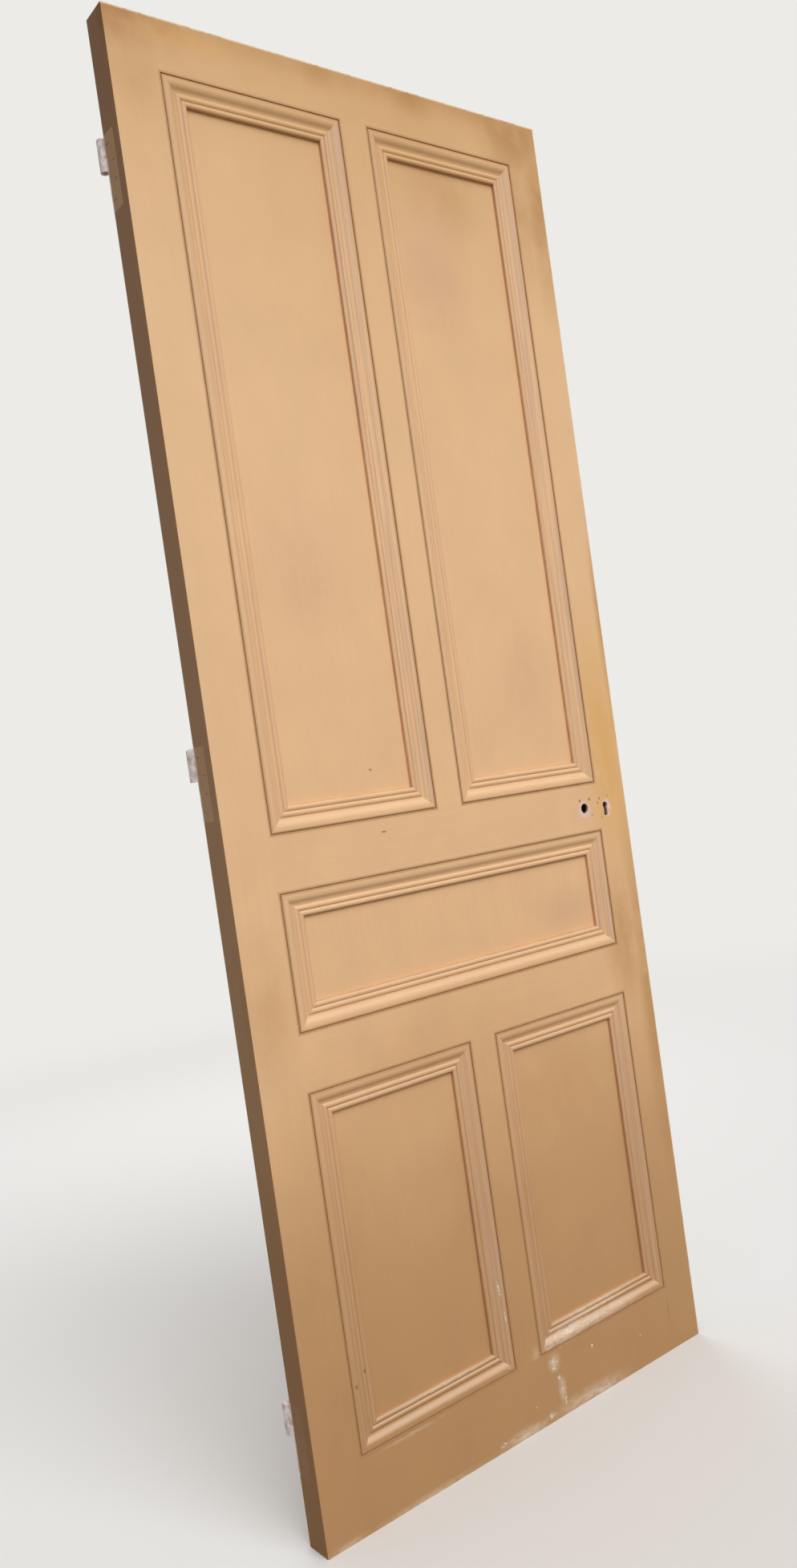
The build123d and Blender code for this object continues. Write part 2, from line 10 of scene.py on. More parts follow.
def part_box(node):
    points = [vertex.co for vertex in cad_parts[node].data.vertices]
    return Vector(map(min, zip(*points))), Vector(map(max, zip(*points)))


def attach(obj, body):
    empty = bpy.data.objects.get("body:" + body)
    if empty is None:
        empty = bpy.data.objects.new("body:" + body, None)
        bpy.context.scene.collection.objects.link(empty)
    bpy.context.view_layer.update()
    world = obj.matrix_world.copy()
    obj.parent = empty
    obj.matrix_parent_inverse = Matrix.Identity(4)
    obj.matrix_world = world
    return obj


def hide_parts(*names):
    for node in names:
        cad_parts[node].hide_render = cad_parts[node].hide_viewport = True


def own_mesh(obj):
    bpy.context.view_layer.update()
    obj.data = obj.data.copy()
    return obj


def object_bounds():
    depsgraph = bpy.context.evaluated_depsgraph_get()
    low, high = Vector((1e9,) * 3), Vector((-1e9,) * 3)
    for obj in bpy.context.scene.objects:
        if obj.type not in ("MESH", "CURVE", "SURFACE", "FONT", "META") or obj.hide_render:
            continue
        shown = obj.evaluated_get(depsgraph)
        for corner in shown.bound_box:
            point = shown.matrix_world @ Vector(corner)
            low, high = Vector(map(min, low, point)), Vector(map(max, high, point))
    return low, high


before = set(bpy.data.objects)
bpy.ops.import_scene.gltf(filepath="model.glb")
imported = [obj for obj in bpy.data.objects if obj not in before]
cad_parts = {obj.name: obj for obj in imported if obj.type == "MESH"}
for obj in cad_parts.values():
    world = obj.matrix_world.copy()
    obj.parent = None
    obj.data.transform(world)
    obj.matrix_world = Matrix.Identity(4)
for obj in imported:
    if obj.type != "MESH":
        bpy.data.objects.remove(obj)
cad_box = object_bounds()

Lamp = namedtuple("Lamp", "name power size place")
Mark = namedtuple("Mark", "kind x z wide high strength turn", defaults=(1.0, 0.0))
Noise = namedtuple("Noise", "size detail rough seed")
Stain = namedtuple("Stain", "kind colour cloud")
DarkMark = namedtuple("DarkMark", "kind colour strength")

# The photograph's camera: place and directions in metres, focal length and centre in its pixels
picture_width = 994
picture_height = 1955
camera_place = Vector((-1.1362, -1.4071, 0.9993))
camera_forward = Vector((0.60739, 0.79403, -0.02419))
camera_up = Vector((0.12688, -0.06691, 0.98966))
focal_pixels = 1506.0
centre_across = 507.9
centre_down = 1007.6
sensor_size = 36.0
clip_near = 0.05
clip_far = 500.0

# Light, at a level where a colour renders about as it is written
upward = Vector((0, 0, 1))
sun_strength = 1.65
sun_softness = 50.0
sun_from = Vector((-0.1, -1.0, 0.95))
lamps = (
    Lamp("lamp", 11.0, 1.4, Vector((0.0, -2.1, 2.3))),
    Lamp("back_lamp", 30.0, 2.0, Vector((1.0, 2.6, 2.2))),
)
lamp_aim = Vector((0.0, 0.0, 1.3))
sky_strength = 0.56
sky_above = 0.6
ground_strength = 0.16
ground_below = -0.3
world_white = (1.0, 1.0, 1.0, 1.0)
backdrop_colour = (236, 235, 232)
floor_colour = (224, 223, 221)
floor_bounce = (120, 118, 112)
floor_rough = 0.9
floor_blend_start = 1.0
floor_blend_end = 4.5
floor_reach = 60.0
floor_corners = ((-1, -1), (1, -1), (1, 1), (-1, 1))

# The leaf's surfaces, in metres
leaf_low, leaf_high = cad_box
front_face = -0.022
leaf_left = -0.381
leaf_right = 0.381
front_fade = (-0.006, -0.010)
panel_names = ("upper_hinge", "upper_lock", "middle", "lower_hinge", "lower_lock")
moulding_sides = ("bottom", "top", "hinge_side", "lock_side")
upper_pair = ("upper_hinge", "upper_lock")
lower_pair = ("lower_hinge", "lower_lock")
panels_beside = {
    "hinge_stile": ("upper_hinge", "middle", "lower_hinge"),
    "lock_stile": ("upper_lock", "middle", "lower_lock"),
    "top_rail": upper_pair,
    "upper_muntin": upper_pair,
    "lock_rail": upper_pair + ("middle",),
    "middle_rail": lower_pair + ("middle",),
    "lower_muntin": lower_pair,
    "bottom_rail": lower_pair,
}

# The hinge knuckles' round heads, in metres, and an angle in degrees
knuckle_line = (-0.3822, 0.0282)
knuckle_radius = 0.006
knuckle_reach = 0.0078
knuckle_border = 0.002
crown_height = 0.0036
crown_steps = 6
quarter_turn = 90
weld_distance = 0.00002
sharp_angle = 35.0

# Nodes by their metal
brass_nodes = ("latch_bolt", "dead_bolt", "follower", "lock_forend", "forend_screws")
steel_nodes = ("lock_case", "lock_cap", "dead_bolt_spring", "cap_screw")

# The curve between a colour's written values and linear light
channel_top = 255
curve_knee = 0.04045
curve_slope = 12.92
curve_offset = 0.055
curve_power = 2.4

# A Mix node's colour sockets, by number because their names repeat, and where a ramp's new stop starts
mix_first = 6
mix_second = 7
mix_result = 2
new_stop = 0.5

# A mark on the face goes right through the leaf, so its reach along Y has no end
through_reach = 1000.0

# Paint colours as seen in daylight, 0 to 255
# The head, low, shin and foot colours are darker in part as painted shade, for less light there
paint_head_shaded = (213, 167, 113)
paint_upper = (229, 186, 137)
paint_middle = (238, 194, 147)
paint_waist = (240, 194, 146)
paint_low_shaded = (219, 172, 124)
paint_shin_shaded = (202, 157, 109)
paint_foot_shaded = (189, 143, 96)
stain_brown = (184, 134, 76)
stain_ochre = (226, 172, 96)
stain_umber = (176, 120, 62)
blotch_pink = (214, 168, 134)
streak_grey = (206, 168, 140)
# Painted shade for the hinge edge: the door's paint as it looks in less light
edge_shade_brown = (112, 70, 42)
# Pale for scuffs, and for dust with a painted highlight on faces that look up
pale_scuff_and_highlight = (226, 196, 168)
# Painted shade for the panels' seats and the quirks' lines, and painted light for the quirks' grooves
seat_shade_brown = (176, 124, 82)
quirk_shade_halo = (172, 128, 84)
quirk_painted_light = (246, 206, 156)
chip_white = (233, 214, 192)
primer_pink = (234, 204, 192)
# Painted highlight along the front arris
arris_highlight_cream = (240, 218, 178)
mark_purple = (116, 70, 62)
mark_dark = (92, 58, 42)
# Painted shade inside the holes
hole_shade_dark = (38, 20, 14)
old_white = (244, 234, 230)
old_white_dirt = (196, 178, 172)
iron_brown = (74, 56, 44)
brass_bright = (176, 142, 84)
brass_dull = (128, 100, 62)
steel_bright = (150, 146, 140)
steel_dull = (84, 76, 68)

# The paint's colour at shares of the leaf's height, darker towards the head and the foot, in part as painted
# shade
paint_and_shade_by_height = (
    (0.0, paint_foot_shaded),
    (0.17, paint_shin_shaded),
    (0.25, paint_low_shaded),
    (0.335, paint_waist),
    (0.58, paint_middle),
    (0.74, paint_middle),
    (0.88, paint_upper),
    (1.0, paint_head_shaded),
)

# From here on a fade says where a mask is 0 and where it is 1, and a span the low and high of a spread

# Clouds, mottling, brush marks and the paint's fine texture. Sizes and depths are in metres
cloud_noise = Noise((0.45, 0.45, 0.45), 2.0, 0.5, 0.0)
cloud_span = (-0.09, 0.09)
mottle_noise = Noise((0.08, 0.08, 0.11), 3.0, 0.6, 3.1)
mottle_span = (0.90, 1.04)
brush_noise = {
    "up": Noise((0.004, 0.004, 0.12), 2.0, 0.6, 7.7),
    "across": Noise((0.12, 0.004, 0.004), 2.0, 0.6, 7.7),
}
brush_span = (-0.03, 0.03)
brush_depth = 0.0001
peel_noise = Noise((0.0028, 0.0028, 0.0028), 1.0, 0.5, 41.0)
peel_depth = 0.00004
paint_gloss = 0.35
paint_rough = (0.38, 0.58)

# Stains. Amber and ochre have one colour, and ochre's clouds are finer
broad_cloud = Noise((0.05, 0.05, 0.07), 3.0, 0.6, 11.0)
fine_cloud = Noise((0.012, 0.012, 0.0168), 3.0, 0.6, 11.0)
stains = (
    Stain("brown", stain_brown, broad_cloud),
    Stain("pink", blotch_pink, broad_cloud),
    Stain("amber", stain_ochre, broad_cloud),
    Stain("ochre", stain_ochre, fine_cloud),
    Stain("umber", stain_umber, broad_cloud),
)
stain_fade = (0.25, 0.60)
stain_span = (0.45, 1.0)

# Painted shade in a soft line round each moulding, painted light in its quirk's groove, and painted shade
# where the panel begins
line_noise = Noise((0.03, 0.03, 0.03), 3.0, 0.6, 5.5)
line_middle = 0.0007
line_fade = (0.0048, 0.0006)
line_span = (0.55, 1.0)
groove_light_border = 0.0002
groove_light_strength = 0.8
seat_start = 0.0349
seat_end = 0.0366
seat_border = 0.0009
seat_shade_span = (0.0, 0.7)

# Streaks on the upright mouldings, and dust with a painted highlight on the level ones
streak_noise = Noise((0.0022, 0.0022, 0.25), 2.0, 0.6, 21.0)
streak_fade = (0.38, 0.62)
streaks_lock_side = 0.8
streaks_hinge_side = 0.4
ledge_fade = (0.08, 0.55)
dust_and_highlight_fade = (1.2, 0.2)
dust_and_highlight_span = (0.12, 0.55)

# Painted shade on the hinge edge: how far in from the edge, for which facing, and its strength from foot to
# head
edge_inner = 0.011
edge_outer = 0.003
edge_facing = (-0.6, -0.9)
edge_shade_share = 0.53
edge_shade_share_head = 0.80
edge_roughness = 0.25

# A pale painted highlight along the front arris, on the nodes whose materials have these names
arris_highlight_materials = ("paint_lock_stile", "paint_top_rail", "paint_hinge_stile")
arris_width = 0.0027
arris_core = arris_width / 3
arris_noise = Noise((0.01, 0.01, 0.03), 3.0, 0.6, 19.0)
arris_fade = (0.25, 0.55)
arris_strength = 0.8

# Pale rings round the two holes, and painted shade inside the holes
ring_noise = Noise((0.006, 0.006, 0.006), 2.0, 0.6, 9.0)
ring_fade = (0.0, 0.35)
ring_wear_fade = (0.22, 0.55)
hole_border = 0.0005
hole_lip = 0.0012
hole_deep = 0.006

# Knocks and old screw marks, scuffs, and chips
dark_marks = (
    DarkMark("knock", mark_dark, 0.6),
    DarkMark("screw", mark_purple, 0.75),
)
smudge_noise = Noise((0.002, 0.002, 0.002), 2.0, 0.6, 23.0)
smudge_span = (-0.55, 0.45)
smudge_fade = (0.05, 0.75)
scuff_noise = Noise((0.014, 0.014, 0.007), 4.0, 0.65, 15.0)
scuff_fade = (0.0, 0.9)
scuff_wear_fade = (0.20, 0.66)
flake_noise = Noise((0.009, 0.009, 0.0035), 5.0, 0.7, 2.2)
flake_span = (-1.2, 1.2)
chip_fade = (0.55, 1.05)
chip_depth = 0.00035
chip_roughness = 0.25

# White paint over the hinges' iron
iron_dirt_noise = Noise((0.006, 0.006, 0.012), 3.0, 0.6, 13.0)
iron_dirt_fade = (0.35, 0.7)
iron_flake_noise = Noise((0.005, 0.005, 0.007), 4.0, 0.65, 17.0)
iron_flake_fade = (0.68, 0.74)
iron_flake_span = (0.25, 1.0)
iron_rough = (0.62, 0.8)

# Tarnish and file marks on brass and steel
tarnish_noise = Noise((0.014, 0.014, 0.018), 4.0, 0.7, 4.0)
tarnish_fade = (0.26, 0.74)
metal_rough = (0.55, 0.35)
filed_noise = Noise((0.02, 0.0004, 0.0004), 3.0, 0.6, 6.0)
filed_rough = (0.0, 0.08)
filed_depth = 0.00005

# Wear seen in the photograph: kind, place on the door's face and reach in metres, strength, turn in degrees
foot_wear = Mark("chip", 0.0, 0.0, 0.5, 0.012, 0.55)
head_stain = Mark("brown", 0.0, 2.036, 1.2, 0.045, 0.55)
head_ochre = Mark("ochre", -0.27, 2.012, 0.10, 0.020, 0.5)
hinge_corner_stains = (
    Mark("brown", -0.385, 2.040, 0.11, 0.080),
    Mark("umber", -0.350, 2.035, 0.13, 0.070, 0.9),
)
lock_corner_stains = (
    Mark("brown", 0.330, 2.000, 0.11, 0.085, 0.8),
    Mark("umber", 0.320, 2.030, 0.13, 0.050, 0.55),
)
lock_stain = Mark("amber", 0.345, 1.010, 0.075, 0.300, 0.75)
middle_stain = Mark("brown", 0.330, 0.690, 0.060, 0.160, 0.6)
wear = {
    "top_rail": (
        Mark("brown", -0.050, 2.030, 0.065, 0.045, 0.8),
        Mark("brown", 0.120, 2.030, 0.075, 0.050, 0.95),
        Mark("brown", 0.100, 2.028, 0.260, 0.018, 0.7),
        head_ochre,
        head_stain,
        *hinge_corner_stains,
        *lock_corner_stains,
    ),
    "hinge_stile": (
        Mark("brown", -0.345, 1.960, 0.06, 0.090, 0.35),
        Mark("brown", -0.350, 0.720, 0.06, 0.140, 0.3),
        head_ochre,
        head_stain,
        *hinge_corner_stains,
        Mark("scuff", -0.345, 0.000, 0.060, 0.016, 0.6),
        foot_wear,
    ),
    "lock_stile": (
        head_stain,
        *lock_corner_stains,
        Mark("brown", 0.370, 1.900, 0.05, 0.220, 0.8),
        Mark("brown", 0.380, 1.200, 0.015, 0.250, 0.8),
        lock_stain,
        middle_stain,
        Mark("brown", 0.325, 1.880, 0.050, 0.160, 0.5),
        Mark("brown", 0.376, 0.60, 0.035, 0.45, 0.7),
        Mark("ring", 0.335, 0.9055, 0.012, 0.020, 0.9),
        Mark("hole", 0.331, 0.9055, 0.0085, 0.0165),
        Mark("screw", 0.319, 0.9225, 0.0028, 0.0034),
        Mark("screw", 0.3145, 0.9155, 0.0028, 0.0034),
        Mark("screw", 0.3205, 0.8915, 0.0028, 0.0034, 0.6),
        Mark("screw", 0.339, 0.9245, 0.0024, 0.0040, 0.7),
        Mark("knock", 0.3140, 0.060, 0.0011, 0.060, 0.6),
        foot_wear,
    ),
    "middle_rail": (
        middle_stain,
    ),
    "lock_rail": (
        lock_stain,
        Mark("ring", 0.2815, 0.9090, 0.0180, 0.0180),
        Mark("hole", 0.283, 0.9105, 0.0085, 0.0085),
        Mark("screw", 0.274, 0.9235, 0.0042, 0.0042),
        Mark("screw", 0.296, 0.9240, 0.0040, 0.0042),
        Mark("screw", 0.299, 0.8970, 0.0040, 0.0046, 0.5),
        Mark("knock", -0.124, 0.929, 0.007, 0.0025),
    ),
    "lower_lock_panel": (
        Mark("brown", 0.170, 0.500, 0.180, 0.140, 0.3),
    ),
    "upper_lock_panel": (
        Mark("brown", 0.170, 1.890, 0.12, 0.100, 0.35),
        Mark("pink", 0.13, 1.77, 0.09, 0.16, 0.6),
        Mark("pink", 0.20, 1.12, 0.08, 0.12, 0.4),
    ),
    "upper_hinge_panel": (
        Mark("pink", -0.18, 1.32, 0.12, 0.16, 0.3),
        Mark("knock", -0.125, 1.019, 0.004, 0.003),
    ),
    "middle_panel": (
        Mark("pink", 0.22, 0.76, 0.10, 0.05, 0.6),
    ),
    "front_moulding_lower_hinge_hinge_side": (
        Mark("knock", -0.282, 0.211, 0.0035, 0.005),
        Mark("knock", -0.300, 0.197, 0.003, 0.006),
    ),
    "front_moulding_lower_hinge_lock_side": (
        Mark("chip", -0.034, 0.232, 0.0034, 0.034, 1.0, -6.0),
        Mark("chip", -0.030, 0.190, 0.0030, 0.028, 1.0, -4.0),
    ),
    "front_moulding_lower_lock_bottom": (
        Mark("chip", 0.092, 0.119, 0.060, 0.012),
        Mark("chip", 0.145, 0.117, 0.095, 0.010, 0.80),
        Mark("chip", 0.046, 0.112, 0.030, 0.012, 0.80),
        Mark("chip", 0.120, 0.137, 0.095, 0.006, 0.66),
        Mark("scuff", 0.095, 0.119, 0.110, 0.022),
        Mark("scuff", 0.105, 0.119, 0.060, 0.020),
        Mark("scuff", 0.160, 0.117, 0.170, 0.016, 0.8),
        # These two thin marks along the bead tops are painted highlights
        Mark("scuff", 0.150, 0.1375, 0.130, 0.005, 0.9),
        Mark("scuff", 0.150, 0.131, 0.130, 0.004, 0.7),
    ),
    "front_moulding_lower_hinge_bottom": (
        # A thin painted highlight along the bead's top
        Mark("scuff", -0.160, 0.1375, 0.140, 0.004, 0.7),
        Mark("chip", -0.036, 0.113, 0.010, 0.004, 0.6),
    ),
    "lower_muntin": (
        Mark("chip", 0.022, 0.100, 0.012, 0.012, 0.7),
        Mark("scuff", 0.018, 0.105, 0.016, 0.030, 0.6),
    ),
    "bottom_rail": (
        Mark("chip", 0.080, 0.1025, 0.060, 0.005, 0.72),
        Mark("chip", 0.050, 0.088, 0.014, 0.010),
        Mark("chip", 0.051, 0.078, 0.015, 0.008),
        Mark("chip", 0.058, 0.060, 0.008, 0.010),
        Mark("chip", 0.062, 0.042, 0.008, 0.012),
        Mark("chip", 0.066, 0.022, 0.007, 0.018),
        Mark("chip", 0.006, 0.036, 0.008, 0.006, 0.8),
        Mark("chip", 0.033, 0.012, 0.022, 0.013, 0.9),
        Mark("chip", -0.022, 0.005, 0.024, 0.010, 0.95),
        Mark("chip", -0.066, 0.010, 0.016, 0.009, 0.85),
        Mark("chip", 0.150, 0.006, 0.080, 0.016, 0.78),
        Mark("chip", 0.135, 0.079, 0.006, 0.006),
        Mark("chip", 0.243, 0.052, 0.005, 0.005),
        Mark("chip", -0.170, 0.0985, 0.150, 0.0045, 0.55),
        Mark("scuff", 0.052, 0.085, 0.020, 0.022, 0.9),
        Mark("scuff", 0.062, 0.040, 0.013, 0.036, 0.8),
        Mark("scuff", 0.120, 0.006, 0.130, 0.026, 0.75),
        Mark("scuff", -0.020, 0.006, 0.075, 0.017, 0.8),
        Mark("scuff", -0.200, 0.000, 0.180, 0.014, 0.6),
        Mark("scuff", -0.230, 0.099, 0.090, 0.005, 0.5),
        foot_wear,
    ),
}


def linear_channel(channel):
    """One written channel as Blender's linear value."""
    value = channel / channel_top
    if value <= curve_knee:
        return value / curve_slope
    return ((value + curve_offset) / (1 + curve_offset)) ** curve_power


def linear(colour):
    """A written colour as Blender's linear red, green, blue and alpha."""
    return tuple(map(linear_channel, colour)) + (1.0,)


class Shader:
    """A material under construction, with short names for the nodes that it needs."""

    def __init__(self, name):
        self.material = bpy.data.materials.new(name)
        self.material.use_nodes = True
        self.tree = self.material.node_tree
        self.surface = self.tree.nodes["Principled BSDF"]
        self.point = self.new("ShaderNodeTexCoord").outputs["Object"]
        parts = self.new("ShaderNodeSeparateXYZ")
        self.put(parts.inputs[0], self.point)
        self.x, self.y, self.z = parts.outputs
        normals = self.new("ShaderNodeSeparateXYZ")
        self.put(normals.inputs[0], self.new("ShaderNodeNewGeometry").outputs["True Normal"])
        self.normal_x = normals.outputs["X"]
        self.normal_z = normals.outputs["Z"]

    def new(self, kind):
        return self.tree.nodes.new(kind)

    def put(self, socket, value):
        """Links a socket, or sets a plain value."""
        if isinstance(value, bpy.types.NodeSocket):
            self.tree.links.new(value, socket)
        else:
            socket.default_value = value

    def math(self, operation, first, second=0.0):
        node = self.new("ShaderNodeMath")
        node.operation = operation
        self.put(node.inputs[0], first)
        self.put(node.inputs[1], second)
        return node.outputs[0]

    def plus(self, first, second):
        return self.math("ADD", first, second)

    def minus(self, first, second):
        return self.math("SUBTRACT", first, second)

    def times(self, first, second):
        return self.math("MULTIPLY", first, second)

    def away(self, value, middle):
        """How far a value is from a middle one, either way."""
        return self.math("ABSOLUTE", self.minus(value, middle))

    def fade(self, value, start, end):
        """0 at start and 1 at end, smooth between them and held beyond."""
        node = self.new("ShaderNodeMapRange")
        node.interpolation_type = "SMOOTHSTEP"
        rising = end > start
        self.put(node.inputs["Value"], value)
        self.put(node.inputs["From Min"], min(start, end))
        self.put(node.inputs["From Max"], max(start, end))
        self.put(node.inputs["To Min"], 0.0 if rising else 1.0)
        self.put(node.inputs["To Max"], 1.0 if rising else 0.0)
        return node.outputs["Result"]

    def band(self, value, start, end, border):
        """1 between start and end, 0 outside, with soft borders."""
        rise = self.fade(value, start - border, start + border)
        fall = self.fade(value, end + border, end - border)
        return self.times(rise, fall)

    def spread(self, value, low, high):
        """A value of 0 to 1 spread from low to high."""
        node = self.new("ShaderNodeMath")
        node.operation = "MULTIPLY_ADD"
        self.put(node.inputs[0], value)
        self.put(node.inputs[1], high - low)
        self.put(node.inputs[2], low)
        return node.outputs[0]

    def scaled(self, stretch, centre, turn=0.0):
        """The point measured from a centre, turned in the door's face, in units of the stretch."""
        node = self.new("ShaderNodeMapping")
        node.vector_type = "TEXTURE"
        self.put(node.inputs["Vector"], self.point)
        self.put(node.inputs["Location"], centre)
        self.put(node.inputs["Rotation"], (0, math.radians(turn), 0))
        self.put(node.inputs["Scale"], stretch)
        return node.outputs["Vector"]

    def noise(self, look):
        """Even noise around 0.5, with features of the look's size along x, y and z."""
        node = self.new("ShaderNodeTexNoise")
        self.put(node.inputs["Vector"], self.scaled(look.size, (look.seed,) * len(look.size)))
        self.put(node.inputs["Scale"], 1.0)
        self.put(node.inputs["Detail"], look.detail)
        self.put(node.inputs["Roughness"], look.rough)
        return node.outputs["Fac"]

    def length(self, vector):
        node = self.new("ShaderNodeVectorMath")
        node.operation = "LENGTH"
        self.put(node.inputs[0], vector)
        return node.outputs["Value"]

    def spot(self, mark):
        """1 at a mark's place on the door's face, falling to 0 at its reach."""
        reach = (mark.wide, through_reach, mark.high)
        return self.fade(self.length(self.scaled(reach, (mark.x, 0.0, mark.z), mark.turn)), 1.0, 0.0)

    def mix(self, share, first, second):
        """The first colour, turned into the second by a share of 0 to 1."""
        node = self.new("ShaderNodeMix")
        node.data_type = "RGBA"
        self.put(node.inputs[0], share)
        self.put(node.inputs[mix_first], linear(first) if isinstance(first, tuple) else first)
        self.put(node.inputs[mix_second], linear(second) if isinstance(second, tuple) else second)
        return node.outputs[mix_result]

    def shade(self, colour, factor):
        """A colour times a number."""
        node = self.new("ShaderNodeVectorMath")
        node.operation = "SCALE"
        self.put(node.inputs[0], colour)
        self.put(node.inputs["Scale"], factor)
        return node.outputs["Vector"]

    def ramp(self, value, stops):
        """A colour that runs through the stops, each a value and a colour."""
        node = self.new("ShaderNodeValToRGB")
        node.color_ramp.interpolation = "B_SPLINE"
        self.put(node.inputs[0], value)
        elements = node.color_ramp.elements
        while len(elements) < len(stops):
            elements.new(new_stop)
        for element, (place, colour) in zip(elements, stops):
            element.position = place
            element.color = linear(colour)
        return node.outputs["Color"]

    def largest(self, values):
        """The largest of several values."""
        result = values[0]
        for value in values[1:]:
            result = self.math("MAXIMUM", result, value)
        return result

    def bump(self, height):
        """A surface raised by a height in metres."""
        node = self.new("ShaderNodeBump")
        self.put(node.inputs["Strength"], 1.0)
        self.put(node.inputs["Distance"], 1.0)
        self.put(node.inputs["Height"], height)
        return node.outputs["Normal"]

    def set(self, socket_name, value):
        """Sets or links one of the surface's own sockets."""
        self.put(self.surface.inputs[socket_name], value)

    def finish(self, colour, roughness, height):
        """The material, with its colour and roughness, and raised by a height in metres."""
        self.set("Base Color", colour)
        self.set("Roughness", roughness)
        self.set("Normal", self.bump(height))
        return self.material


def panel_rectangle(name):
    """The outer line of a panel's front moulding: its centre and half size."""
    lows, highs = zip(*(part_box(f"front_moulding_{name}_{side}") for side in moulding_sides))
    low = Vector(map(min, *lows))
    high = Vector(map(max, *highs))
    return (low + high) / 2, (high - low) / 2


def inset(shader, panels):
    """How far a point lies inside the nearest moulding's outer line, in metres, for those panels."""
    found = []
    for name in panels:
        centre, half = panel_rectangle(name)
        from_side = shader.minus(half.x, shader.away(shader.x, centre.x))
        from_end = shader.minus(half.z, shader.away(shader.z, centre.z))
        found.append(shader.math("MINIMUM", from_side, from_end))
    return shader.largest(found)


def height_share(shader):
    """0 at the leaf's foot and 1 at its head."""
    return shader.math("DIVIDE", shader.z, leaf_high.z)


def painted_colour(shader, grain):
    """The paint's colour: warmer and darker at the head and foot, in part painted shade for the light that
    falls off there, with faint clouds and brush marks.
    """
    level = shader.plus(height_share(shader), shader.spread(shader.noise(cloud_noise), *cloud_span))
    colour = shader.ramp(level, paint_and_shade_by_height)
    mottle = shader.noise(mottle_noise)
    brush = shader.noise(brush_noise[grain])
    factor = shader.plus(shader.spread(mottle, *mottle_span), shader.spread(brush, *brush_span))
    return shader.shade(colour, factor), brush


def marks_of(shader, marks, kind):
    """One mask for all marks of a kind, the strongest where they meet, or None."""
    found = [shader.times(shader.spot(mark), mark.strength) for mark in marks if mark.kind == kind]
    return shader.largest(found) if found else None


def add_stains(shader, marks, colour, front):
    """Brown and yellow water stains and faint pink clouds, broken up by soft noise."""
    for stain in stains:
        mask = marks_of(shader, marks, stain.kind)
        if mask is not None:
            cloud = shader.fade(shader.noise(stain.cloud), *stain_fade)
            broken = shader.times(mask, shader.spread(cloud, *stain_span))
            colour = shader.mix(shader.times(broken, front), colour, stain.colour)
    return colour


def add_moulding_shade_and_light(shader, colour, panels):
    """A soft line of painted shade round each moulding, painted light that lightens its quirk's groove, and
    painted shade where the panel begins.
    """
    distance = inset(shader, panels)
    uneven = shader.noise(line_noise)
    # Painted shade in a soft line along the quirk
    soft = shader.fade(shader.away(distance, line_middle), *line_fade)
    colour = shader.mix(shader.times(soft, shader.spread(uneven, *line_span)), colour, quirk_shade_halo)
    # Painted light: the quirk's groove lightened against its own shade
    groove_light = shader.band(distance, 0.0, 2 * line_middle, groove_light_border)
    colour = shader.mix(shader.times(groove_light, groove_light_strength), colour, quirk_painted_light)
    # Painted shade where the panel meets the moulding
    seat_shade = shader.band(distance, seat_start, seat_end, seat_border)
    return shader.mix(shader.times(seat_shade, shader.spread(uneven, *seat_shade_span)), colour, seat_shade_brown)


def add_streaks(shader, colour, strength):
    """Fine upright streaks of grey and pink dirt on the upright mouldings."""
    streaks = shader.fade(shader.noise(streak_noise), *streak_fade)
    return shader.mix(shader.times(streaks, strength), colour, streak_grey)


def add_dust_and_highlight(shader, colour, front):
    """Faded paint, dust and a painted highlight on the mouldings' faces that look upward, more of it lower
    down.
    """
    # Paler on faces that look up: dust, and a painted highlight where light from above falls
    ledge = shader.times(shader.fade(shader.normal_z, *ledge_fade), front)
    amount = shader.spread(shader.fade(shader.z, *dust_and_highlight_fade), *dust_and_highlight_span)
    return shader.mix(shader.times(ledge, amount), colour, pale_scuff_and_highlight)


def hinge_edge(shader):
    """1 on the leaf's hinge edge, 0 on its faces."""
    outer = shader.fade(shader.x, leaf_left + edge_inner, leaf_left + edge_outer)
    return shader.times(shader.fade(shader.normal_x, *edge_facing), outer)


def add_edge_shade(shader, colour, edge):
    """Brown painted shade on the hinge edge, darker higher up."""
    amount = shader.spread(height_share(shader), edge_shade_share, edge_shade_share_head)
    return shader.mix(shader.times(edge, amount), colour, edge_shade_brown)


def add_holes(shader, marks, colour, front):
    """Pale rings where the rose and escutcheon sat, and painted shade inside the two holes."""
    ring = marks_of(shader, marks, "ring")
    if ring is None:
        return colour
    worn = shader.fade(shader.noise(ring_noise), *ring_wear_fade)
    ring = shader.times(shader.fade(ring, *ring_fade), worn)
    colour = shader.mix(shader.times(ring, front), colour, primer_pink)
    # Painted shade on the holes' walls, deeper than the lip
    inside = shader.math("GREATER_THAN", marks_of(shader, marks, "hole"), hole_border)
    deep = shader.fade(shader.y, front_face + hole_lip, front_face + hole_deep)
    return shader.mix(shader.times(inside, deep), colour, hole_shade_dark)


def near(shader, value, limit, inward):
    """1 within the arris's core of a limit, 0 beyond its width, measured inward."""
    return shader.fade(value, limit + inward * arris_width, limit + inward * arris_core)


def add_arris_highlight(shader, colour):
    """A pale painted highlight along the lock side's and the head's front arris."""
    side = near(shader, shader.x, leaf_right, -1)
    head = near(shader, shader.z, leaf_high.z, -1)
    corner = shader.times(shader.largest((side, head)), near(shader, shader.y, front_face, 1))
    # Painted highlight along the arris, broken up by noise
    rubbed = shader.times(corner, shader.fade(shader.noise(arris_noise), *arris_fade))
    return shader.mix(shader.times(rubbed, arris_strength), colour, arris_highlight_cream)


